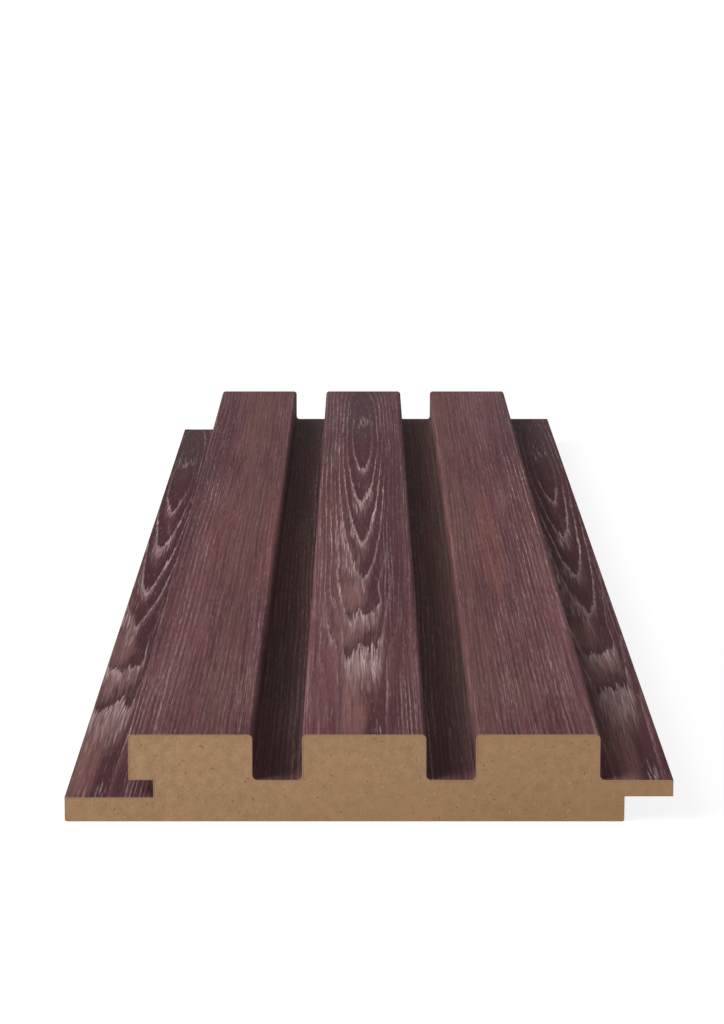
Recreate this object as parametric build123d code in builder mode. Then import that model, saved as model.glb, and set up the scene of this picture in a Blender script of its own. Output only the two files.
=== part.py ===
"""Slatted wall panel: a milled fibreboard core with a wood-print film wrapped over its face.

X runs across the slats, Y along them and Z out from the wall.
The origin is on the back face, under the middle of the slats and at half the length.
"""

import os

from build123d import *

# Driving dimensions of the finished panel, in millimetres, measured over the film
panel_length = 500.0
panel_thickness = 18.0
slat_count = 3
slat_width = 25.0
groove_width = 10.0
groove_depth = 9.4
slat_edge_radius = 1.0
groove_corner_radius = 1.0
back_edge_radius = 0.5
ledge_width = 12.9
ledge_thickness = 5.0
slot_depth = 5.0
slot_height = 3.6
tongue_reach = 14.8
tongue_overhang = 9.8
lap_clearance = 0.2
film_thickness = 0.2

# Heights of the bare board above the back face
back_face = 0.0
slat_top = panel_thickness - film_thickness
groove_floor = slat_top - groove_depth
ledge_top = ledge_thickness - film_thickness
slot_roof = ledge_thickness + slot_height + film_thickness
tongue_underside = ledge_thickness + lap_clearance

# Places across the bare board, which the film makes up to the finished widths
slat_pitch = slat_width + groove_width
half_span = ((slat_count - 1) * slat_pitch + slat_width) / 2
board_slat_width = slat_width - 2 * film_thickness
first_slat_edge = -half_span + film_thickness
slot_end = -half_span + slot_depth + film_thickness
ledge_tip = -half_span - ledge_width
tongue_tip = half_span + tongue_reach
base_end = tongue_tip - tongue_overhang

# Radii of the bare board, where the film widens an outer corner and narrows an inner one
board_edge_radius = slat_edge_radius - film_thickness
board_corner_radius = groove_corner_radius + film_thickness
sharp = 0.0

# The face line runs from the ledge's tip through the slot, over every slat, to the tongue's tip.
# Each corner is a point with its radius, and the slot's corners are left sharp by the cutter.
ledge_start = (ledge_tip, ledge_top)
tongue_end = (tongue_tip, groove_floor)
face_corners = [
    ((slot_end, ledge_top), sharp),
    ((slot_end, slot_roof), sharp),
    ((first_slat_edge, slot_roof), sharp),
]
for slat in range(slat_count):
    slat_left = first_slat_edge + slat * slat_pitch
    slat_right = slat_left + board_slat_width
    if slat > 0:
        face_corners.append(((slat_left, groove_floor), board_corner_radius))
    face_corners.append(((slat_left, slat_top), board_edge_radius))
    face_corners.append(((slat_right, slat_top), board_edge_radius))
    face_corners.append(((slat_right, groove_floor), board_corner_radius))
face_points = [ledge_start, *(point for point, _ in face_corners), tongue_end]
face_radii = [radius for _, radius in face_corners]

# Core: one board, milled on its face and along both edges
with BuildPart() as mdf_core:
    with BuildSketch(Plane.XZ) as core_section:
        with BuildLine():
            FilletPolyline(*face_points, radius=face_radii)
            Polyline(
                tongue_end,
                (tongue_tip, tongue_underside),
                (base_end, tongue_underside),
                (base_end, back_face),
                (ledge_tip, back_face),
                ledge_start,
            )
        make_face()
        back_corners = core_section.vertices().group_by(Axis.Y)[0]
        fillet(back_corners, radius=back_edge_radius)
    extrude(amount=panel_length / 2, both=True)
mdf_core.part.label = "mdf_core"

# Film: one sheet that follows the face line at an even thickness, cut flush at both ends
with BuildPart() as decor_film:
    with BuildSketch(Plane.XZ):
        with BuildLine():
            FilletPolyline(*face_points, radius=face_radii)
            offset(amount=film_thickness, side=Side.LEFT)
        make_face()
    extrude(amount=panel_length / 2, both=True)
decor_film.part.label = "decor_film"

os.makedirs("parts", exist_ok=True)
export_step(mdf_core.part, "parts/mdf_core.step")
export_step(decor_film.part, "parts/decor_film.step")
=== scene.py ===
"""Dresses the slatted wall panel: its sawn core, its wood-print film, the light and the camera.

Sizes are in metres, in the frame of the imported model: X across the slats, Y along them and Z out
from the wall.
"""

from __future__ import annotations

import logging
import math
from collections.abc import Mapping, Sequence
from dataclasses import dataclass
from enum import Enum
from functools import reduce
from itertools import pairwise

import bmesh
import bpy
from bpy.types import ID, Material, Mesh, NodeSocket as Socket, Object
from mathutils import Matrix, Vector

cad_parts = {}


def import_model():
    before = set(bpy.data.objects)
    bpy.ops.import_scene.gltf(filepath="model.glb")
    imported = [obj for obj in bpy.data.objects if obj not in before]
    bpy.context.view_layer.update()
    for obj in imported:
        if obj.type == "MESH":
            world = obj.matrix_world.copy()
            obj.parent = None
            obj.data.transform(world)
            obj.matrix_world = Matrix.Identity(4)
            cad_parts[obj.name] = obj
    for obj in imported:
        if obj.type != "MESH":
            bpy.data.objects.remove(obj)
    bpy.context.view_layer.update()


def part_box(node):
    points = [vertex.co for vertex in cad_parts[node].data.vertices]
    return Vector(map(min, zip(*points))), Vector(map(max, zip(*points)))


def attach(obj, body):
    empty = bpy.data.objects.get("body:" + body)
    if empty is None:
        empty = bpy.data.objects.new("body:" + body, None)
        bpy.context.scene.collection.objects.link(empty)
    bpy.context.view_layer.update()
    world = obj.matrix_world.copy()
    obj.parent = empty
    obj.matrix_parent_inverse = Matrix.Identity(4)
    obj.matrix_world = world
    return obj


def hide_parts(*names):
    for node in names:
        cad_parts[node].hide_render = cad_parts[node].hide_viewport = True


LOG = logging.getLogger("wall_panel")
MM = 0.001

Colour = tuple[float, float, float, float]
Size = tuple[float, float, float]


class Node(str, Enum):
    """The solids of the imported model."""

    CORE = "mdf_core"
    FILM = "decor_film"


class Slot(str, Enum):
    """The finishes that the record names."""

    BOARD = "mdf"
    FILM = "film"


class Body(str, Enum):
    """What the pieces ride on."""

    PANEL = "root"


def rgb(*levels: int) -> Colour:
    """Turns a screen's red, green and blue, from 0 to 255, into the linear colour of a shader."""
    shares = [level / 255 for level in levels]
    return (*(s / 12.92 if s <= 0.04045 else ((s + 0.055) / 1.055) ** 2.4 for s in shares), 1.0)


def add_object(name: str, data: ID) -> Object:
    """Puts a new object into the scene.

    Args:
        name: The object's name.
        data: Its mesh, curve, lamp or camera.

    Returns:
        The object.
    """
    added = bpy.data.objects.new(name, data)
    bpy.context.scene.collection.objects.link(added)
    return added


@dataclass(frozen=True)
class Signal:
    """A number that varies over a surface, as one output of a node tree."""

    graph: NodeGraph
    socket: Socket

    def __add__(self, other: Number) -> Signal:
        """Adds another number."""
        return self.graph.math("ADD", self, other)

    def __sub__(self, other: Number) -> Signal:
        """Takes another number away."""
        return self.graph.math("SUBTRACT", self, other)

    def __rsub__(self, other: float) -> Signal:
        """Takes this away from a plain number."""
        return self.graph.math("SUBTRACT", other, self)

    def __mul__(self, other: Number) -> Signal:
        """Multiplies by another number."""
        return self.graph.math("MULTIPLY", self, other)

    def __truediv__(self, other: Number) -> Signal:
        """Divides by another number."""
        return self.graph.math("DIVIDE", self, other)

    def __abs__(self) -> Signal:
        """Drops the sign."""
        return self.graph.math("ABSOLUTE", self)

    def fraction(self) -> Signal:
        """Keeps what is left over from whole numbers."""
        return self.graph.math("FRACT", self)

    def exp(self) -> Signal:
        """Raises the natural base to this power."""
        return self.graph.math("EXPONENT", self)

    def wrapped(self, half: float) -> Signal:
        """Repeats a range that reaches so far to either side of 0."""
        return self.graph.math("WRAP", self, half, -half)

    def ramp(self, start: float, end: float, low: float = 0.0, high: float = 1.0) -> Signal:
        """Eases from one value to another while this passes through a range.

        Args:
            start: Where the change begins.
            end: Where the change ends.
            low: The value up to the start.
            high: The value from the end on.

        Returns:
            The eased value.
        """
        inputs = {"Value": self, "From Min": start, "From Max": end, "To Min": low, "To Max": high}
        node = self.graph.node("ShaderNodeMapRange", inputs, interpolation_type="SMOOTHSTEP")
        return Signal(self.graph, node.outputs["Result"])


Number = Signal | float
Inputs = Mapping[str | int, object]


class NodeGraph:
    """A node tree that is written as expressions."""

    def __init__(self, tree: bpy.types.NodeTree) -> None:
        """Starts with an empty tree."""
        self.tree = tree
        tree.nodes.clear()

    @classmethod
    def of_material(cls, material: Material) -> NodeGraph:
        """Starts a material's tree."""
        material.use_nodes = True
        return cls(material.node_tree)

    def node(self, kind: str, inputs: Inputs | None = None, **settings: object) -> bpy.types.Node:
        """Adds a node, sets its properties and feeds its inputs.

        Args:
            kind: The node's type, such as ShaderNodeMath.
            inputs: Sockets by name or by place, each with a signal, a socket or a plain value.
            settings: The node's own properties.

        Returns:
            The new node.
        """
        made = self.tree.nodes.new(kind)
        for name, setting in settings.items():
            setattr(made, name, setting)
        for key, value in (inputs or {}).items():
            source = value.socket if isinstance(value, Signal) else value
            if isinstance(source, Socket):
                self.tree.links.new(source, made.inputs[key])
            else:
                made.inputs[key].default_value = source
        return made

    def first(self, kind: str, inputs: Inputs | None = None, **settings: object) -> Socket:
        """Adds a node and gives its first output."""
        return self.node(kind, inputs, **settings).outputs[0]

    def math(self, operation: str, *numbers: Number) -> Signal:
        """Works out one sum from its numbers, in order."""
        inputs = dict(enumerate(numbers))
        return Signal(self, self.first("ShaderNodeMath", inputs, operation=operation))

    def most(self, *numbers: Number) -> Signal:
        """Picks the largest of several numbers."""
        return reduce(lambda first, second: self.math("MAXIMUM", first, second), numbers)

    def point(self, x: Number, y: Number, z: Number) -> Socket:
        """Joins three numbers into a point."""
        return self.first("ShaderNodeCombineXYZ", {0: x, 1: y, 2: z})

    def split(self, point: Socket) -> list[Signal]:
        """Splits a point into three numbers."""
        return [Signal(self, side) for side in self.node("ShaderNodeSeparateXYZ", {0: point}).outputs]

    def place(self) -> Socket:
        """Reads the place on a piece."""
        return self.node("ShaderNodeTexCoord").outputs["Object"]

    def noise(self, place: Socket, scale: float = 1.0, detail: float = 2.0) -> Signal:
        """Reads cloudy noise, from 0 to 1, with so many clouds to a unit and so many finer layers."""
        inputs = {"Vector": place, "Scale": scale, "Detail": detail}
        return Signal(self, self.first("ShaderNodeTexNoise", inputs))

    def blend(self, share: Number, first: object, second: object) -> Socket:
        """Blends from one colour to another by a share."""
        made = self.node("ShaderNodeMix", {0: share, 6: first, 7: second}, data_type="RGBA")
        return made.outputs[2]

    def read(self, kind: str, output: str) -> Signal:
        """Reads one output of a node that takes no inputs."""
        return Signal(self, self.node(kind).outputs[output])

    def bump(self, height: Signal, strength: float, depth: float) -> Socket:
        """Turns a height into fine relief."""
        inputs = {"Strength": strength, "Distance": depth, "Height": height}
        return self.first("ShaderNodeBump", inputs)

    def surface(
        self, colour: Socket, roughness: float, gloss: float, relief: Socket | None = None
    ) -> None:
        """Ends a material in its shader.

        Args:
            colour: The painted colour.
            roughness: How matt it is.
            gloss: How strongly it reflects.
            relief: Its fine relief, if any.
        """
        inputs = {"Base Color": colour, "Roughness": roughness, "Specular IOR Level": gloss}
        if relief is not None:
            inputs["Normal"] = relief
        shader = self.first("ShaderNodeBsdfPrincipled", inputs)
        self.node("ShaderNodeOutputMaterial", {"Surface": shader})


@dataclass(frozen=True)
class Corner:
    """A square corner of the section, and the radius that it is rounded to."""

    x: float
    z: float
    radius: float = 0.0


def turn_between(before: Corner, corner: Corner, after: Corner) -> float:
    """Tells which way a line turns at a corner: above 0 to the left, below 0 to the right."""
    onward = (after.x - corner.x, after.z - corner.z)
    return (corner.x - before.x) * onward[1] - (corner.z - before.z) * onward[0]


def left_of(start: Corner, end: Corner) -> Vector:
    """Gives the direction square to a line, on its left."""
    line = Vector((end.x - start.x, end.z - start.z)).normalized()
    return Vector((-line.y, line.x))


def moved_left(line: Sequence[Corner], amount: float) -> list[Corner]:
    """Moves a line of square corners to its left, as a sheet of even thickness does.

    Args:
        line: The corners, in order.
        amount: How far the line moves.

    Returns:
        The moved corners, with wider radii outside and tighter ones inside.
    """
    moved = []
    for place, corner in enumerate(line):
        shift = Vector((0.0, 0.0))
        if place > 0:
            shift += left_of(line[place - 1], corner)
        if place < len(line) - 1:
            shift += left_of(corner, line[place + 1])
        radius = 0.0
        if 0 < place < len(line) - 1:
            outside = turn_between(line[place - 1], corner, line[place + 1]) < 0
            radius = corner.radius + amount if outside else max(corner.radius - amount, 0.0)
        moved.append(Corner(corner.x + amount * shift.x, corner.z + amount * shift.y, radius))
    return moved


def developed_length(line: Sequence[Corner]) -> float:
    """Measures a line of rounded square corners as if it were pulled straight."""
    straight = sum(math.hypot(b.x - a.x, b.z - a.z) for a, b in pairwise(line))
    return straight - sum((2 - math.pi / 2) * corner.radius for corner in line)


@dataclass(frozen=True)
class PanelSection:
    """The section and length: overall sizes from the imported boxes, milled sizes named here."""

    core_low: Vector
    core_high: Vector
    film_low: Vector
    film_high: Vector
    slat_count: int = 3
    slat_width: float = 24.6 * MM
    groove_width: float = 10.4 * MM
    groove_depth: float = 9.4 * MM
    slat_edge_radius: float = 0.8 * MM
    groove_corner_radius: float = 1.2 * MM
    back_edge_radius: float = 0.5 * MM
    slot_depth: float = 5.0 * MM
    slot_height: float = 4.0 * MM
    tongue_overhang: float = 9.8 * MM
    lap_clearance: float = 0.2 * MM

    @classmethod
    def from_frame(cls) -> PanelSection:
        """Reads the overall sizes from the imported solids."""
        return cls(*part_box(Node.CORE.value), *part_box(Node.FILM.value))

    @property
    def length(self) -> float:
        """The panel's length."""
        return self.core_high.y - self.core_low.y

    @property
    def film_thickness(self) -> float:
        """The film's thickness, which is what it adds over the slats."""
        return self.film_high.z - self.core_high.z

    @property
    def slat_pitch(self) -> float:
        """The distance from slat to slat."""
        return self.slat_width + self.groove_width

    @property
    def slats_half_width(self) -> float:
        """The distance from the middle to the outer side of the last slat."""
        return ((self.slat_count - 1) * self.slat_pitch + self.slat_width) / 2

    def face_line(self) -> list[Corner]:
        """Draws the board's face, through the slot and over the slats.

        Returns:
            The corners, from the ledge's tip to the tongue's tip.
        """
        left = -self.slats_half_width
        ledge_top = self.film_low.z
        slot_roof = ledge_top + self.slot_height
        slat_top = self.core_high.z
        groove_floor = slat_top - self.groove_depth
        line = [
            Corner(self.core_low.x, ledge_top),
            Corner(left + self.slot_depth, ledge_top),
            Corner(left + self.slot_depth, slot_roof),
            Corner(left, slot_roof),
        ]
        for slat in range(self.slat_count):
            start = left + slat * self.slat_pitch
            end = start + self.slat_width
            if slat > 0:
                line.append(Corner(start, groove_floor, self.groove_corner_radius))
            line.append(Corner(start, slat_top, self.slat_edge_radius))
            line.append(Corner(end, slat_top, self.slat_edge_radius))
            line.append(Corner(end, groove_floor, self.groove_corner_radius))
        line.append(Corner(self.core_high.x, groove_floor))
        return line

    def core_outline(self) -> list[Corner]:
        """Closes the face line with the tongue's underside, the rebate and the back.

        Returns:
            The corners of the board's section.
        """
        tongue_underside = self.film_low.z + self.film_thickness + self.lap_clearance
        base_end = self.core_high.x - self.tongue_overhang
        return [
            *self.face_line(),
            Corner(self.core_high.x, tongue_underside),
            Corner(base_end, tongue_underside),
            Corner(base_end, self.core_low.z, self.back_edge_radius),
            Corner(self.core_low.x, self.core_low.z, self.back_edge_radius),
        ]

    def film_face(self) -> list[Corner]:
        """Draws the printed side of the film."""
        return moved_left(self.face_line(), self.film_thickness)

    def film_outline(self) -> list[Corner]:
        """Closes the film's printed side with its bonded side."""
        return self.film_face() + self.face_line()[::-1]

    def print_middle(self) -> float:
        """Measures along the film from the ledge's tip to the middle of the panel."""
        before = [corner for corner in self.film_face() if corner.x < 0]
        return developed_length([*before, Corner(0.0, self.film_high.z)])


class GeometryTree:
    """A Geometry Nodes tree with named inputs, whose result is kept as a plain mesh."""

    def __init__(self, name: str, **inputs: str) -> None:
        """Starts a tree.

        Args:
            name: The tree's name.
            inputs: The kind of each input beside the geometry: Float, Int, Vector or Material.
        """
        self.group = bpy.data.node_groups.new(name, "GeometryNodeTree")
        self.graph = NodeGraph(self.group)
        self.identifiers: dict[str, str] = {}
        face = self.group.interface
        for key, kind in {"Geometry": "Geometry", **inputs}.items():
            socket = face.new_socket(key, in_out="INPUT", socket_type=f"NodeSocket{kind}")
            self.identifiers[key] = socket.identifier
        face.new_socket("Geometry", in_out="OUTPUT", socket_type="NodeSocketGeometry")
        self.inputs = self.graph.node("NodeGroupInput").outputs

    def finish(self, geometry: Socket) -> None:
        """Ends the tree by making instances real and setting the material.

        Args:
            geometry: The finished geometry.
        """
        real = self.graph.first("GeometryNodeRealizeInstances", {0: geometry})
        inputs = {"Geometry": real, "Material": self.inputs["material"]}
        dressed = self.graph.first("GeometryNodeSetMaterial", inputs)
        self.graph.node("NodeGroupOutput", {0: dressed})

    def run(self, source: ID, name: str, values: Mapping[str, object]) -> Object:
        """Runs the tree on a curve or a mesh and keeps the result as a plain mesh.

        Args:
            source: The curve or mesh that goes in.
            name: The name of the finished piece.
            values: The value of each named input.

        Returns:
            The finished piece, in the scene.
        """
        carrier = add_object(f"{name}_source", source)
        modifier = carrier.modifiers.new(self.group.name, "NODES")
        modifier.node_group = self.group
        for key, value in values.items():
            modifier[self.identifiers[key]] = value
        depsgraph = bpy.context.evaluated_depsgraph_get()
        evaluated = carrier.evaluated_get(depsgraph)
        mesh = bpy.data.meshes.new_from_object(evaluated, depsgraph=depsgraph)
        mesh.name = name
        bpy.data.objects.remove(carrier)
        return add_object(name, mesh)


class SectionSweep:
    """Rounds a section's corners and runs it along the panel's length."""

    PRINT_ATTRIBUTE = "print_across"

    def __init__(self, segments: int = 14) -> None:
        """Builds the tree.

        Args:
            segments: How many flats stand for each rounded corner.
        """
        self.tree = GeometryTree(
            "section_sweep", length="Float", print_start="Float", material="Material"
        )
        graph, inputs = self.tree.graph, self.tree.inputs
        radius = graph.first("GeometryNodeInputRadius")
        corners = {"Curve": inputs["Geometry"], "Count": segments, "Radius": radius}
        rounded = graph.first("GeometryNodeFilletCurve", corners, mode="POLY")
        walked = graph.read("GeometryNodeSplineParameter", "Length")
        across = walked - Signal(graph, inputs["print_start"])
        stored = {"Geometry": rounded, "Name": self.PRINT_ATTRIBUTE, "Value": across}
        marked = graph.first("GeometryNodeStoreNamedAttribute", stored)
        half = Signal(graph, inputs["length"]) * 0.5
        ends = {"Start": graph.point(0.0, half * -1.0, 0.0), "End": graph.point(0.0, half, 0.0)}
        path = graph.first("GeometryNodeCurvePrimitiveLine", ends)
        sweep = {"Curve": path, "Profile Curve": marked, "Fill Caps": True}
        swept = graph.first("GeometryNodeCurveToMesh", sweep)
        shading = {"Geometry": swept, "Shade Smooth": False}
        self.tree.finish(graph.first("GeometryNodeSetShadeSmooth", shading))

    def piece(
        self,
        name: str,
        outline: Sequence[Corner],
        length: float,
        material: Material,
        print_start: float = 0.0,
    ) -> Object:
        """Makes one piece from its outline.

        Args:
            name: The piece's name.
            outline: The closed section, clockwise, with X to the right and Z up.
            length: How long the piece is.
            material: Its finish.
            print_start: How far along the outline the print's middle lies.

        Returns:
            The finished piece.
        """
        curve = bpy.data.curves.new(f"{name}_section", "CURVE")
        curve.dimensions = "3D"
        spline = curve.splines.new("POLY")
        spline.points.add(len(outline) - 1)
        for point, corner in zip(spline.points, outline):
            # The sweep turns a section's second axis to point down
            point.co = (corner.x, -corner.z, 0.0, 1.0)
            point.radius = corner.radius
        spline.use_cyclic_u = True
        values = {"length": length, "print_start": print_start, "material": material}
        return self.tree.run(curve, name, values)


@dataclass(frozen=True)
class SawnBoard:
    """Bare fibreboard: pale brown, with a fine mottle of fibres, and painted shade that darkens it
    towards the right and towards its back face.
    """

    name: str = "sawn_fibreboard"
    tan: Colour = rgb(164, 132, 100)
    brown: Colour = rgb(145, 114, 84)
    warm: Colour = rgb(166, 128, 95)
    # The deep colour serves both the board's dark clots and its painted shade.
    deep: Colour = rgb(128, 99, 70)
    roughness: float = 0.9
    gloss: float = 0.2
    relief_strength: float = 0.25
    relief_depth: float = 0.05 * MM

    def material(self) -> Material:
        """Builds the material.

        Returns:
            The material.
        """
        material = bpy.data.materials.new(self.name)
        graph = NodeGraph.of_material(material)
        place = graph.place()
        across, _, height = graph.split(place)
        mottle = graph.noise(place, scale=0.5 / MM, detail=4.0)
        drift = graph.noise(place, scale=0.07 / MM)
        grit = graph.noise(place, scale=2.6 / MM, detail=1.0)
        clots = graph.noise(place, scale=1.1 / MM)
        shade = mottle * 0.6 + grit * 0.4
        base = graph.blend(shade.ramp(0.32, 0.68), self.brown, self.tan)
        base = graph.blend(drift.ramp(0.45, 0.75) * 0.5, base, self.warm)
        # Painted shade: the board darkens towards the right and towards its back face, on top of its
        # dark clots.
        painted_shade_right = across.ramp(-50 * MM, 50 * MM, 0.0, 0.35)
        painted_shade_back = height.ramp(0.0, 14 * MM, 0.22, 0.0)
        colour = graph.blend(painted_shade_right + painted_shade_back + clots.ramp(0.6, 0.72) * 0.3, base, self.deep)
        relief = graph.bump(shade, self.relief_strength, self.relief_depth)
        graph.surface(colour, self.roughness, self.gloss, relief)
        return material


@dataclass(frozen=True)
class PlainFleck:
    """The colour of one kind of fibre or speck in the board, which drifts from fleck to fleck."""

    name: str
    light: Colour
    dark: Colour
    roughness: float = 0.9
    gloss: float = 0.1

    def material(self) -> Material:
        """Builds the material.

        Returns:
            The material.
        """
        material = bpy.data.materials.new(self.name)
        graph = NodeGraph.of_material(material)
        drift = graph.noise(graph.place(), scale=0.4 / MM, detail=1.0)
        colour = graph.blend(drift.ramp(0.3, 0.7), self.dark, self.light)
        graph.surface(colour, self.roughness, self.gloss)
        return material


@dataclass(frozen=True)
class Crossing:
    """A ring on a heart line: millimetres behind the middle, its number and its comb of lime."""

    along: float
    ring: float
    comb: float


@dataclass(frozen=True)
class Patch:
    """An oval of the print, in millimetres from a heart line and from the middle of the panel."""

    across: float
    along: float
    half_width: float
    half_length: float
    strength: float


Patches = tuple[Patch, ...]


@dataclass(frozen=True)
class PrintPlace:
    """A place on the print, in millimetres: from the nearest heart line, across the film, along."""

    graph: NodeGraph
    from_heart: Signal
    across: Signal
    along: Signal
    half_pitch: float

    def streaks(self, width: float, length: float, seed: float) -> Signal:
        """Reads noise, from 0 to 1, that is drawn out into streaks along the grain."""
        return self.graph.noise(self.graph.point(self.across / width, self.along / length, seed))

    def swings(self, width: float, length: float, seed: float) -> Signal:
        """Reads streaks that swing as far below 0 as above it."""
        return self.streaks(width, length, seed) - 0.5

    def strokes(self, width: float, length: float, seed: float) -> PoreStroke:
        """Divides the print into short strokes along the grain.

        Args:
            width: How wide a stroke is.
            length: How long a stroke is.
            seed: Which strokes they are.

        Returns:
            The stroke that the place lies in.
        """
        graph = self.graph
        spot = graph.point(self.across / width + seed, self.along / length, 0.0)
        inputs = {"Vector": spot, "Scale": 1.0}
        cells = graph.node("ShaderNodeTexVoronoi", inputs, voronoi_dimensions="2D").outputs
        column, row, _ = graph.split(cells["Position"])
        across = (column - seed) * width
        from_heart = (self.from_heart + (across - self.across)).wrapped(self.half_pitch)
        chance = graph.first("ShaderNodeSeparateColor", {0: cells["Color"]})
        return PoreStroke(
            PrintPlace(graph, from_heart, across, row * length, self.half_pitch),
            Signal(graph, cells["Distance"]).ramp(0.3, 0.75, 1.0, 0.0),
            Signal(graph, chance),
        )

    def oval(self, patch: Patch) -> Signal:
        """Tells how far a place is from a patch's middle.

        Args:
            patch: The patch.

        Returns:
            The squared distance, 1 on the patch's rim.
        """
        sideways = (self.from_heart - patch.across).wrapped(self.half_pitch) / patch.half_width
        lengthwise = (self.along - patch.along) / patch.half_length
        return sideways * sideways + lengthwise * lengthwise

    def patches(self, patches: Patches) -> Signal:
        """Tells how strongly a place lies in the strongest of several patches, 0 outside them."""
        fray = self.swings(0.7, 35, 21) * 1.1
        return self.graph.most(
            *((self.oval(patch) + fray).ramp(0.0, 1.4, patch.strength, 0.0) for patch in patches)
        )


@dataclass(frozen=True)
class PoreStroke:
    """A stroke of limed pores: its middle, how it fades to its edge and a chance of its own."""

    middle: PrintPlace
    fade: Signal
    chance: Signal


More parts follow.
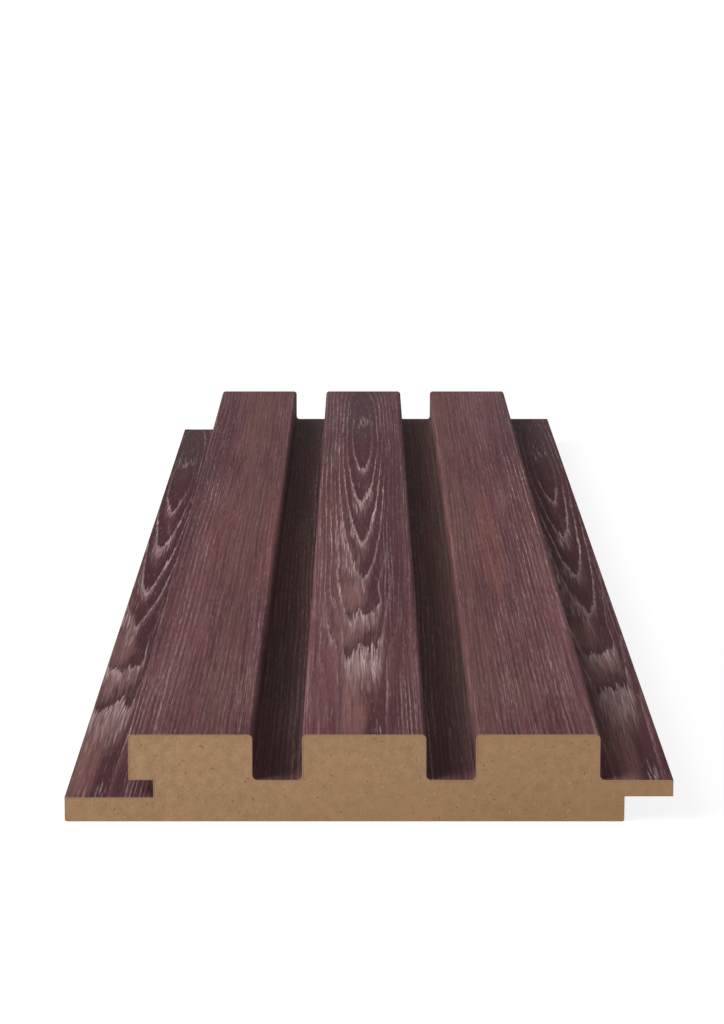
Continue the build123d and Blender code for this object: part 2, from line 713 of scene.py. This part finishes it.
@dataclass(frozen=True)
class WoodPrint:
    """Matt film printed with a dark crown-cut wood whose pores are limed.

    Lengths in the print are in millimetres. The crowns stand side by side, one pitch apart. Down in
    the grooves the colour is pulled towards a dark olive brown as painted shade.
    """

    half_length: float
    slat_top: float
    groove_reach: float
    name: str = "wood_print_film"
    heart: float = -0.4
    crown_pitch: float = 55.9
    crown_breadth: float = 10.0
    blunt_half_width: float = 4.0
    steady_ring: float = 2.4
    ground: Colour = rgb(101, 64, 67)
    shadow: Colour = rgb(64, 36, 40)
    pale: Colour = rgb(120, 79, 82)
    ashen: Colour = rgb(105, 77, 79)
    warm: Colour = rgb(94, 65, 59)
    brown: Colour = rgb(117, 82, 79)
    red: Colour = rgb(110, 71, 64)
    grey: Colour = rgb(70, 56, 59)
    # Painted shade: the colour that the print is pulled towards down in the grooves, and by how much.
    groove: Colour = rgb(80, 66, 60)
    groove_shade_share: float = 0.5
    limed: Colour = rgb(176, 152, 150)
    cut_edge: Colour = rgb(150, 120, 94)
    roughness: float = 0.8
    gloss: float = 0.04
    relief_strength: float = 0.12
    relief_depth: float = 0.02 * MM
    crossings: tuple[Crossing, ...] = (
        Crossing(-250, 6.75, 0.1), Crossing(-205, 6.45, 0.5), Crossing(-167, 6.0, 1.0),
        Crossing(-131, 5.0, 0.9), Crossing(-82, 4.0, 0.35), Crossing(-35, 3.0, 0.35),
        Crossing(28, 2.0, 0.45), Crossing(85, 1.0, 0.05), Crossing(140, 0.35, 0.1),
        Crossing(180, 0.5, 0.1), Crossing(217, 0.8, 0.1), Crossing(240, 1.4, 0.1),
        Crossing(250, 1.9, 0.1),
    )
    pale_patches: Patches = (Patch(-9, -130, 5, 160, 0.4), Patch(15.5, -140, 5, 140, 0.3))
    ashen_patches: Patches = (Patch(-17, 215, 10, 95, 0.6),)
    warm_patches: Patches = (
        Patch(23.5, 185, 5.5, 120, 0.85), Patch(26, -20, 4, 130, 0.75),
        Patch(26, -190, 4, 110, 0.6), Patch(-22, -205, 4, 30, 0.6),
    )
    brown_patches: Patches = (
        Patch(-2.6, -106, 4.0, 21, 0.85), Patch(-3.4, -151, 3.2, 15, 0.6),
        Patch(-2, -226, 3.4, 36, 1.0), Patch(-1, -198, 4.5, 24, 0.5),
        Patch(-0.5, -139, 4.5, 12, 0.5), Patch(-5.2, -26, 2.0, 18, 0.45),
        Patch(-4.0, -52, 1.8, 18, 0.5), Patch(-2.2, -76, 1.8, 14, 0.5),
    )
    red_patches: Patches = (
        Patch(-23, -30, 4, 85, 0.7), Patch(20, -20, 5, 70, 0.4), Patch(-9, 20, 4, 50, 0.5),
        Patch(10.5, 15, 3, 40, 0.5), Patch(-4, -95, 2.5, 18, 0.4),
    )
    dark_patches: Patches = (
        Patch(7, 10, 6, 230, 0.85), Patch(13, 150, 4, 110, 0.6), Patch(-13, 140, 5, 110, 0.5),
        Patch(0, 190, 5, 90, 0.5), Patch(26, 150, 3, 110, 0.2), Patch(8.5, -230, 4, 40, 0.5),
        Patch(2, 0, 9, 500, 0.32), Patch(-10, 70, 5, 140, 0.45), Patch(5, 70, 3.5, 120, 0.3),
    )
    limed_patches: Patches = (
        Patch(0, 20, 7, 130, 0.95), Patch(-7.4, 60, 5.2, 230, 0.95), Patch(-9, -170, 4, 100, 0.6),
        Patch(-6, -105, 1.4, 30, 1.0), Patch(4.2, 30, 2.5, 75, 1.4), Patch(5, -90, 2, 90, 0.4),
        Patch(7, 180, 4, 75, 0.7), Patch(6, -228, 1.6, 45, 0.8), Patch(3.6, 4, 1.4, 26, 2.2),
        Patch(11.5, 170, 2.5, 90, 0.55), Patch(14.5, -80, 4, 280, 0.55),
        Patch(-13.6, 30, 2.6, 170, 0.75), Patch(-16, -90, 6, 200, 0.5),
        Patch(-24, -180, 3, 90, 0.45), Patch(17, 210, 3, 60, 0.35), Patch(3.8, 212, 1.6, 40, 0.7),
        Patch(-4.4, 205, 1.2, 48, 0.6),
    )
    stroked_patches: Patches = (Patch(-0.3, 176, 4.0, 13, 0.6), Patch(3.0, -246, 1.2, 12, 0.7))
    hung_patches: Patches = (
        Patch(-5.6, -16, 2.0, 30, 0.75), Patch(-4.6, -42, 2.4, 30, 0.8),
        Patch(-3.0, -66, 2.4, 24, 0.75), Patch(-0.8, -90, 2.2, 18, 0.5),
        Patch(-0.9, 21, 2.6, 16, 0.7), Patch(1.6, 42, 1.4, 18, 0.9), Patch(-2.3, -24, 1.2, 12, 0.6),
        Patch(-1.0, -131, 5.6, 17, 0.65), Patch(0.1, -172, 6.4, 38, 0.58),
    )
    misty_patches: Patches = (Patch(0.2, -175, 5.6, 24, 0.4), Patch(-1.0, -133, 4.8, 13, 0.28))
    grey_patches: Patches = (
        Patch(0, 205, 7, 70, 0.85), Patch(14, 190, 2.5, 75, 0.45), Patch(-10, 190, 3, 80, 0.4),
        Patch(5.6, -45, 1.6, 45, 0.7), Patch(11.5, 80, 2.5, 60, 0.5), Patch(6.5, 225, 5, 40, 0.5),
    )
    wide_rings: Patches = (Patch(-6.3, -88, 2.6, 38, 0.8),)
    bare_patches: Patches = (
        Patch(-0.4, 216, 3.6, 34, 1.0), Patch(0, -222, 5, 34, 0.8), Patch(-0.4, 70, 1.8, 13, 0.8),
        Patch(-9, -208, 2.5, 30, 0.8), Patch(4.6, -92, 1.6, 30, 0.8),
    )
    ruled_patches: Patches = (Patch(9.6, -228, 2.6, 40, 1.0), Patch(6.4, -70, 1.9, 80, 0.8))

    def _along_curve(self, along: Signal, heights: Sequence[float]) -> Signal:
        """Draws a smooth curve along the panel through one height at each ring crossing.

        Args:
            along: The place along the panel.
            heights: The curve's heights at the crossings.

        Returns:
            The curve's height.
        """
        span = 2 * self.half_length
        top = max(heights)
        node = along.graph.node("ShaderNodeFloatCurve", {"Value": along / span + 0.5})
        points = node.mapping.curves[0].points
        while len(points) < len(heights):
            points.new(0.5, 0.5)
        for point, crossing, height in zip(points, self.crossings, heights):
            point.location = (crossing.along / span + 0.5, height / top)
        node.mapping.update()
        return Signal(along.graph, node.outputs[0]) * top

    def _place(self, graph: NodeGraph) -> PrintPlace:
        """Finds the place on the print, with the grain's slow bends.

        Args:
            graph: The tree that it is built in.

        Returns:
            The place.
        """
        stored = graph.node("ShaderNodeAttribute", attribute_name=SectionSweep.PRINT_ATTRIBUTE)
        side, length, _ = (axis * (1 / MM) for axis in graph.split(graph.place()))
        half_pitch = self.crown_pitch / 2
        bend = (graph.noise(graph.point(side / 30.0, length / 150.0, 1.0)) - 0.5) * 1.4
        wave = (graph.noise(graph.point(side / 9.0, length / 70.0, 4.0)) - 0.5) * 2.4
        from_heart = (side - self.heart + bend).wrapped(half_pitch)
        across = Signal(graph, stored.outputs["Fac"]) * (1 / MM) + bend + wave
        return PrintPlace(graph, from_heart, across, length, half_pitch)

    def _in_groove(self, graph: NodeGraph) -> Signal:
        """Tells how far a place lies down in a groove between the slats, where the print is darkened
        as painted shade.

        Args:
            graph: The tree that it is built in.

        Returns:
            The depth, from 0 on the slats to 1 on the groove's walls and floor.
        """
        side, _, height = (axis * (1 / MM) for axis in graph.split(graph.place()))
        within = abs(side).ramp(self.groove_reach, self.groove_reach + 0.5, 1.0, 0.0)
        return (self.slat_top - height).ramp(1.0, 4.0) * within

    def _rings(self, place: PrintPlace) -> Signal:
        """Counts the growth rings from the heart outwards.

        Args:
            place: The place on the print.

        Returns:
            The count, with pointed crowns at the back, blunt ones in front and straight flanks.
        """
        distance = abs(place.from_heart)
        on_heart = self._along_curve(place.along, [c.ring for c in self.crossings])
        breadth = self.crown_breadth
        squared = distance * distance + breadth * breadth
        pointed = place.graph.math("POWER", squared, 0.5) - breadth + distance * 0.08
        blunt = distance.ramp(self.blunt_half_width - 1.5, self.blunt_half_width + 2.0, 1.0, 0.0)
        blunt = blunt * place.along.ramp(-118.0, -88.0, 1.0, 0.0)
        arch = distance * place.along.ramp(-165.0, -140.0, -0.025, 0.03)
        spread = pointed + (arch - pointed) * blunt
        advance = distance.ramp(2.0, 11.0, 1.0, 0.25)
        sway = place.swings(5, 110, 3)
        ripple = place.swings(1.7, 80, 11) * distance.ramp(3.0, 8.0)
        rings = (on_heart - self.steady_ring) * advance + self.steady_ring
        rings = rings + spread + sway * 0.7 + ripple * 0.9
        for patch in self.wide_rings:
            rings = rings - (place.oval(patch) * -1.0).exp() * patch.strength
        return rings

    def _fringe(self, place: PrintPlace, rings: Signal, bristle: Signal) -> Signal:
        """Hangs combs of lime from the crowns.

        Args:
            place: The place on the print.
            rings: The count of growth rings there.
            bristle: How the combs part into bristles.

        Returns:
            The share of lime.
        """
        distance = abs(place.from_heart)
        comb = self._along_curve(place.along, [c.comb for c in self.crossings])
        tooth = place.swings(0.5, 26, 14)
        wave = place.swings(2.4, 60, 15)
        hang = (rings + tooth * (comb * 0.5 + 0.1) + wave * comb * 0.8).fraction()
        uneven = place.streaks(0.4, 60, 4).ramp(0.3, 0.7, 0.4, 1.3)
        uneven = uneven * place.streaks(1.8, 80, 16).ramp(0.35, 0.65, 0.5, 1.4)
        taper = distance.ramp(1.0, 5.0, 0.34, 0.12)
        reach = uneven * (comb * taper + 0.04)
        side = (distance + place.swings(1.2, 40, 18) * 4.0).ramp(4.0, 6.8, 1.0, 0.0)
        glow = place.streaks(1.5, 50, 19).ramp(0.3, 0.6, 0.55, 1.0)
        return (hang / reach * -1.0).exp() * comb.ramp(0.0, 0.7) * side * glow * bristle

    def _lime(
        self, place: PrintPlace, rings: Signal, step: Signal, apex: Signal, calm: Signal
    ) -> Signal:
        """Tells how much lime shows at a place.

        Args:
            place: The place on the print.
            rings: The count of growth rings there.
            step: How far the place is through its ring.
            apex: How near it is to a heart line.
            calm: How much its loose pores are held back.

        Returns:
            The share of lime: along the rings, hanging from their crowns and in loose pores.
        """
        graph = place.graph
        limed = place.patches(self.limed_patches)
        bare = 1.0 - place.patches(self.bare_patches)
        clump = place.streaks(6, 60, 8)
        number = graph.math("FLOOR", rings)
        cloud = graph.noise(graph.point(number * 5.3, place.along / 55.0, place.from_heart / 9.0))
        swell = graph.most(cloud.ramp(0.36, 0.58, 0.3, 1.0), apex * 0.8)
        strength = graph.most(limed, 0.26) * clump.ramp(0.3, 0.6, 0.6, 1.0) * bare * swell
        bead = place.streaks(0.34, 6, 7).ramp(0.36, 0.6, 0.25, 1.1)
        bristle = place.streaks(0.36, 24, 17).ramp(0.38, 0.58, 0.2, 1.1)

        stroke = place.strokes(0.32, 15, 31.7)
        passed = self._rings(stroke.middle).fraction()
        mark = stroke.fade * stroke.chance.ramp(0.0, 0.7, 0.3, 1.0)
        line = step.ramp(0.0, 0.02) * step.ramp(0.06, 0.2, 1.0, 0.0) * bead * 0.9
        drawn = graph.most(passed.ramp(0.06, 0.28, 1.0, 0.0) * mark * bead, line) * strength
        hung = stroke.middle.patches(self.hung_patches)
        hung = passed.ramp(0.15, 0.95, 1.0, 0.0) * hung * mark * bristle * 1.2
        dab = place.strokes(0.4, 12, 83.1)
        strewn = (dab.middle.patches(self.stroked_patches) - dab.chance * 0.9).ramp(-0.1, 0.4)
        strewn = strewn * dab.fade * 0.5 * bead
        hairs = graph.noise(graph.point(rings * 2.9, place.along / 80.0, 10.0))
        hairs = hairs.ramp(0.54, 0.7) * (limed * 0.25 + 0.16) * (1.0 - apex) * bead * bare

        loose = place.streaks(0.3, 8, 12).ramp(0.58, 0.75) * clump.ramp(0.35, 0.65, 0.1, 0.32)
        vein = place.streaks(0.4, 24, 33).ramp(0.64, 0.76) * 0.35
        scattered = graph.most(loose, vein) * (1.0 - calm)
        rule = (place.from_heart * 1.1 + place.swings(1.5, 60, 35) * 0.9).fraction()
        ruled = rule.ramp(0.0, 0.12) * rule.ramp(0.2, 0.5, 1.0, 0.0) * bead * 0.42
        ruled = ruled * place.patches(self.ruled_patches)
        mist = place.patches(self.misty_patches)
        mist = mist * place.streaks(0.9, 16, 41).ramp(0.3, 0.7, 0.3, 1.0)
        mist = mist * step.ramp(0.3, 0.75, 1.0, 0.0)
        fringe = self._fringe(place, rings, bristle)
        return graph.most(drawn, hung, ruled, fringe, strewn, scattered, mist, hairs)

    def _colour(self, place: PrintPlace) -> Socket:
        """Mixes the print's colour at a place.

        Args:
            place: The place on the print.

        Returns:
            The colour.
        """
        graph = place.graph
        apex = abs(place.from_heart).ramp(3.4, 5.6, 1.0, 0.0)
        rag = place.swings(0.35, 30, 2)
        rings = self._rings(place)
        step = (rings + rag * (apex * 0.1 + 0.15)).fraction()
        warm = place.patches(self.warm_patches)
        calm = warm * 0.6

        upright = place.streaks(0.5, 40, 6).ramp(0.3, 0.7)
        flow = graph.noise(graph.point(rings * 2.4, place.along / 70.0, 10.0)).ramp(0.35, 0.6)
        bands = place.streaks(1.2, 60, 25).ramp(0.35, 0.65)
        busy = place.streaks(4, 45, 27).ramp(0.38, 0.62, 0.3, 1.3) * (1.0 - calm)
        finest = (place.streaks(0.34, 12, 13).ramp(0.36, 0.64) - 0.5) * busy + 0.5
        grain = (upright * apex + flow * (1.0 - apex)) * 0.5 + bands * 0.44 + finest * 0.4 - 0.1
        on_grain = grain * 0.5 + 0.5

        pores = place.streaks(0.32, 9, 23).ramp(0.54, 0.72) * busy * 0.7
        furrows = place.streaks(0.55, 28, 29).ramp(0.6, 0.74) * 0.65
        shades = place.streaks(1.4, 80, 37).ramp(0.48, 0.68) * 0.42
        dark = graph.most(place.patches(self.dark_patches), shades, pores, furrows)
        brown = place.patches(self.brown_patches)
        late = step.ramp(0.1, 0.7) * (apex * 0.75 + 0.2) * (1.0 - brown)
        # Painted shade down in the grooves, weaker towards the front end.
        groove = self._in_groove(graph) * place.along.ramp(-240.0, -190.0, 0.4, 1.0)

        tone = graph.blend(grain, self.shadow, self.ground)
        for share, colour in (
            (place.patches(self.pale_patches), self.pale),
            (place.patches(self.ashen_patches) * on_grain, self.ashen),
            (late, self.shadow),
            (warm * on_grain, self.warm),
            (place.patches(self.red_patches) * on_grain, self.red),
            (place.patches(self.grey_patches), self.grey),
            (dark, self.shadow),
            (brown * (grain * 0.8 + 0.35), self.brown),
            (groove * self.groove_shade_share, self.groove),
            (self._lime(place, rings, step, apex, calm), self.limed),
        ):
            tone = graph.blend(share, tone, colour)
        return tone

    def material(self) -> Material:
        """Builds the material, with the print on the face and the bare film on its cut ends.

        Returns:
            The material.
        """
        material = bpy.data.materials.new(self.name)
        graph = NodeGraph.of_material(material)
        place = self._place(graph)
        normal = graph.node("ShaderNodeNewGeometry").outputs["Normal"]
        is_end = abs(graph.split(normal)[1]).ramp(0.5, 0.6)
        colour = graph.blend(is_end, self._colour(place), self.cut_edge)
        relief = graph.bump(place.streaks(0.3, 14, 9), self.relief_strength, self.relief_depth)
        graph.surface(colour, self.roughness, self.gloss, relief)
        return material


class FleckShape(Enum):
    """The kinds of fleck that show on sawn fibreboard."""

    FIBRE = "fibre"
    SPECK = "speck"


@dataclass(frozen=True)
class Fleck:
    """One kind of fleck: its shape, finish, number and size."""

    name: str
    shape: FleckShape
    finish: PlainFleck
    per_square_metre: float
    seed: int
    smallest: Size
    largest: Size


class FleckScatter:
    """Strews flecks over flat faces, clear of their outlines."""

    TURN_SEED = 1
    SIZE_SEED = 2

    def __init__(self, shape: FleckShape, rim: float = 0.7 * MM) -> None:
        """Builds the tree.

        Args:
            shape: The kind of fleck.
            rim: How far from an outline the flecks stay.
        """
        self.tree = GeometryTree(
            f"{shape.value}_scatter", per_square_metre="Float", seed="Int",
            smallest="Vector", largest="Vector", material="Material",
        )
        graph, inputs = self.tree.graph, self.tree.inputs
        faces = inputs["Geometry"]
        spread = {"Mesh": faces, "Density": inputs["per_square_metre"], "Seed": inputs["seed"]}
        strewn = graph.node("GeometryNodeDistributePointsOnFaces", spread).outputs
        rims = graph.node("GeometryNodeProximity", {0: faces}, target_element="EDGES").outputs
        limits = {0: rims["Distance"], 1: rim}
        near_rim = graph.first("FunctionNodeCompare", limits, operation="LESS_THAN")
        points = graph.first("GeometryNodeDeleteGeometry", {0: strewn["Points"], 1: near_rim})
        turn = self._drawn((0.0, 0.0, 0.0), (0.0, 0.0, math.tau), self.TURN_SEED)
        turns = {0: strewn["Rotation"], 1: graph.first("FunctionNodeEulerToRotation", {0: turn})}
        turned = graph.first("FunctionNodeRotateRotation", turns, rotation_space="LOCAL")
        size = self._drawn(inputs["smallest"], inputs["largest"], self.SIZE_SEED)
        single = self._fibre() if shape is FleckShape.FIBRE else self._speck()
        flecks = {"Points": points, "Instance": single, "Rotation": turned, "Scale": size}
        self.tree.finish(graph.first("GeometryNodeInstanceOnPoints", flecks))

    def _drawn(self, low: Size | Socket, high: Size | Socket, seed: int) -> Socket:
        """Draws a random vector for each fleck."""
        limits = {0: low, 1: high, "Seed": seed}
        return self.tree.graph.first("FunctionNodeRandomValue", limits, data_type="FLOAT_VECTOR")

    def _fibre(self) -> Socket:
        """Makes a bent fibre with fine ends, one unit long.

        Returns:
            Its mesh.
        """
        graph = self.tree.graph
        bend = {"Start": (-0.5, 0.0, 0.0), "Middle": (0.1, 0.4, 0.0), "End": (0.5, -0.1, 0.0)}
        bent = graph.first("GeometryNodeCurveQuadraticBezier", {"Resolution": 5, **bend})
        ring = graph.first("GeometryNodeCurvePrimitiveCircle", {"Resolution": 5, "Radius": 0.1})
        walked = graph.read("GeometryNodeSplineParameter", "Factor")
        taper = 1.1 - abs(walked * 2.0 - 1.0)
        inputs = {"Curve": bent, "Profile Curve": ring, "Scale": taper, "Fill Caps": True}
        return graph.first("GeometryNodeCurveToMesh", inputs)

    def _speck(self) -> Socket:
        """Makes a crumb, one unit across."""
        return self.tree.graph.first("GeometryNodeMeshIcoSphere", {"Radius": 0.5, "Subdivisions": 1})

    def piece(self, faces: Mesh, fleck: Fleck) -> Object:
        """Strews one kind of fleck over a mesh's faces.

        Args:
            faces: The mesh.
            fleck: The kind of fleck.

        Returns:
            All the flecks, as one piece.
        """
        values = {
            "per_square_metre": fleck.per_square_metre,
            "seed": fleck.seed,
            "smallest": fleck.smallest,
            "largest": fleck.largest,
            "material": fleck.finish.material(),
        }
        return self.tree.run(faces, fleck.name, values)


@dataclass(frozen=True)
class FibreboardCore:
    """The milled board, with the fibres and specks that its sawn ends show."""

    section: PanelSection
    sweep: SectionSweep
    fleck_rise: float = 0.05 * MM
    end_facing: float = 0.9
    flecks: tuple[Fleck, ...] = (
        Fleck(
            "pale_fibres",
            FleckShape.FIBRE,
            PlainFleck("pale_fibre", rgb(198, 168, 130), rgb(172, 140, 106)),
            per_square_metre=95000.0,
            seed=3,
            smallest=(0.3 * MM, 0.15 * MM, 0.2 * MM),
            largest=(1.25 * MM, 0.6 * MM, 0.4 * MM),
        ),
        Fleck(
            "dark_specks",
            FleckShape.SPECK,
            PlainFleck("dark_speck", rgb(134, 103, 73), rgb(108, 80, 55)),
            per_square_metre=150000.0,
            seed=8,
            smallest=(0.12 * MM, 0.1 * MM, 0.06 * MM),
            largest=(0.65 * MM, 0.34 * MM, 0.09 * MM),
        ),
    )

    def _sawn_faces(self, board: Mesh) -> Mesh:
        """Copies the two sawn faces of the board.

        Args:
            board: The board's mesh.

        Returns:
            A mesh of the two faces.
        """
        work = bmesh.new()
        work.from_mesh(board)
        others = [face for face in work.faces if abs(face.normal.y) < self.end_facing]
        bmesh.ops.delete(work, geom=others, context="FACES")
        faces = bpy.data.meshes.new("sawn_faces")
        work.to_mesh(faces)
        work.free()
        return faces

    def build(self) -> None:
        """Makes the board, a hair short so that its flecks end level with the panel."""
        length = self.section.length - 2 * self.fleck_rise
        outline = self.section.core_outline()
        board = self.sweep.piece("fibreboard_core", outline, length, SawnBoard().material())
        settle(board, Node.CORE)
        faces = self._sawn_faces(board.data)
        for fleck in self.flecks:
            settle(FleckScatter(fleck.shape).piece(faces, fleck))


@dataclass(frozen=True)
class PrintedFilm:
    """The wood-print film over the face."""

    section: PanelSection
    sweep: SectionSweep

    def build(self) -> None:
        """Makes the film, with its print fitted to the panel in millimetres."""
        section = self.section
        finish = WoodPrint(
            half_length=section.length / 2 / MM,
            slat_top=section.film_high.z / MM,
            groove_reach=(section.slats_half_width - section.slat_width) / MM,
        )
        film = self.sweep.piece(
            "wood_print_film",
            section.film_outline(),
            section.length,
            finish.material(),
            section.print_middle(),
        )
        settle(film, Node.FILM)


def settle(piece: Object, node: Node | None = None) -> None:
    """Ties a piece to the panel.

    Args:
        piece: The finished piece.
        node: The solid that it stands for, if any.
    """
    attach(piece, Body.PANEL.value)
    if node is not None:
        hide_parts(node.value)
    LOG.info("%s: %d faces", piece.name, len(piece.data.polygons))


@dataclass(frozen=True)
class Studio:
    """A white floor under even light, with one broad soft lamp from the upper left."""

    floor_height: float
    floor_reach: float = 40.0
    sky: float = 0.34
    lamp_from: Size = (-1.25, -0.6, 0.95)
    lamp_strength: float = 4.0
    lamp_breadth_degrees: float = 45.0
    floor_bounce: float = 0.8
    floor_seen_bounce: float = 0.14
    floor_glow: float = 0.88

    def _floor(self) -> None:
        """Lays the floor, which looks white but keeps a soft shadow."""
        mesh = bpy.data.meshes.new("floor")
        reach = self.floor_reach
        corners = [(-reach, -reach), (reach, -reach), (reach, reach), (-reach, reach)]
        mesh.from_pydata([(x, y, self.floor_height) for x, y in corners], [], [(0, 1, 2, 3)])
        floor = add_object("floor", mesh)
        material = bpy.data.materials.new("white_floor")
        graph = NodeGraph.of_material(material)
        seen = self._seen(graph)
        bounce = seen * (self.floor_seen_bounce - self.floor_bounce) + self.floor_bounce
        matt = graph.first("ShaderNodeBsdfDiffuse", {"Color": graph.point(bounce, bounce, bounce)})
        glow = graph.first("ShaderNodeEmission", {"Strength": seen * self.floor_glow})
        both = graph.first("ShaderNodeAddShader", {0: matt, 1: glow})
        graph.node("ShaderNodeOutputMaterial", {"Surface": both})
        mesh.materials.append(material)

    @staticmethod
    def _seen(graph: NodeGraph) -> Signal:
        """Tells the rays that show the background, as 1, from those that light the panel, as 0."""
        rays = ("Is Camera Ray", "Is Transmission Ray", "Is Glossy Ray")
        return graph.most(*(graph.read("ShaderNodeLightPath", ray) for ray in rays))

    def _sky(self) -> None:
        """Sets the even light and the white that is seen behind the panel."""
        world = bpy.data.worlds.new("studio")
        bpy.context.scene.world = world
        world.use_nodes = True
        graph = NodeGraph(world.node_tree)
        strength = self._seen(graph) * (1.0 - self.sky) + self.sky
        white = (1.0, 1.0, 1.0, 1.0)
        light = graph.first("ShaderNodeBackground", {"Color": white, "Strength": strength})
        graph.node("ShaderNodeOutputWorld", {"Surface": light})

    def _lamp(self) -> None:
        """Hangs the lamp far away, so that it lights floor and panel evenly."""
        data = bpy.data.lights.new("soft_lamp", "SUN")
        data.energy = self.lamp_strength
        data.angle = math.radians(self.lamp_breadth_degrees)
        lamp = add_object("soft_lamp", data)
        lamp.location = self.lamp_from
        lamp.rotation_euler = Vector(self.lamp_from).to_track_quat("Z", "Y").to_euler()

    def build(self) -> None:
        """Builds the floor, the even light and the lamp."""
        self._floor()
        self._sky()
        self._lamp()


@dataclass(frozen=True)
class PhotoCamera:
    """The photograph's camera, in pixels of its frame and in metres of the panel's."""

    focal_pixels: float = 3587.7
    frame_height_pixels: float = 1024.0
    pitch_degrees: float = 9.8477
    place: Size = (-0.43 * MM, -952.49 * MM, 185.32 * MM)
    sensor_mm: float = 36.0
    nearest: float = 0.01
    farthest: float = 200.0

    def build(self) -> None:
        """Places the camera and makes it the scene's own."""
        data = bpy.data.cameras.new("photo_camera")
        data.sensor_width = self.sensor_mm
        data.lens = self.sensor_mm * self.focal_pixels / self.frame_height_pixels
        data.clip_start = self.nearest
        data.clip_end = self.farthest
        camera = add_object("photo_camera", data)
        camera.location = self.place
        camera.rotation_euler = (math.radians(90.0 - self.pitch_degrees), 0.0, 0.0)
        bpy.context.scene.camera = camera


def main() -> None:
    """Builds the panel, its light and its camera."""
    logging.basicConfig(level=logging.INFO, format="%(name)s: %(message)s")
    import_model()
    bpy.context.scene.view_settings.view_transform = "Standard"
    section = PanelSection.from_frame()
    sweep = SectionSweep()
    FibreboardCore(section, sweep).build()
    PrintedFilm(section, sweep).build()
    Studio(section.core_low.z).build()
    PhotoCamera().build()


if __name__ == "__main__":
    main()
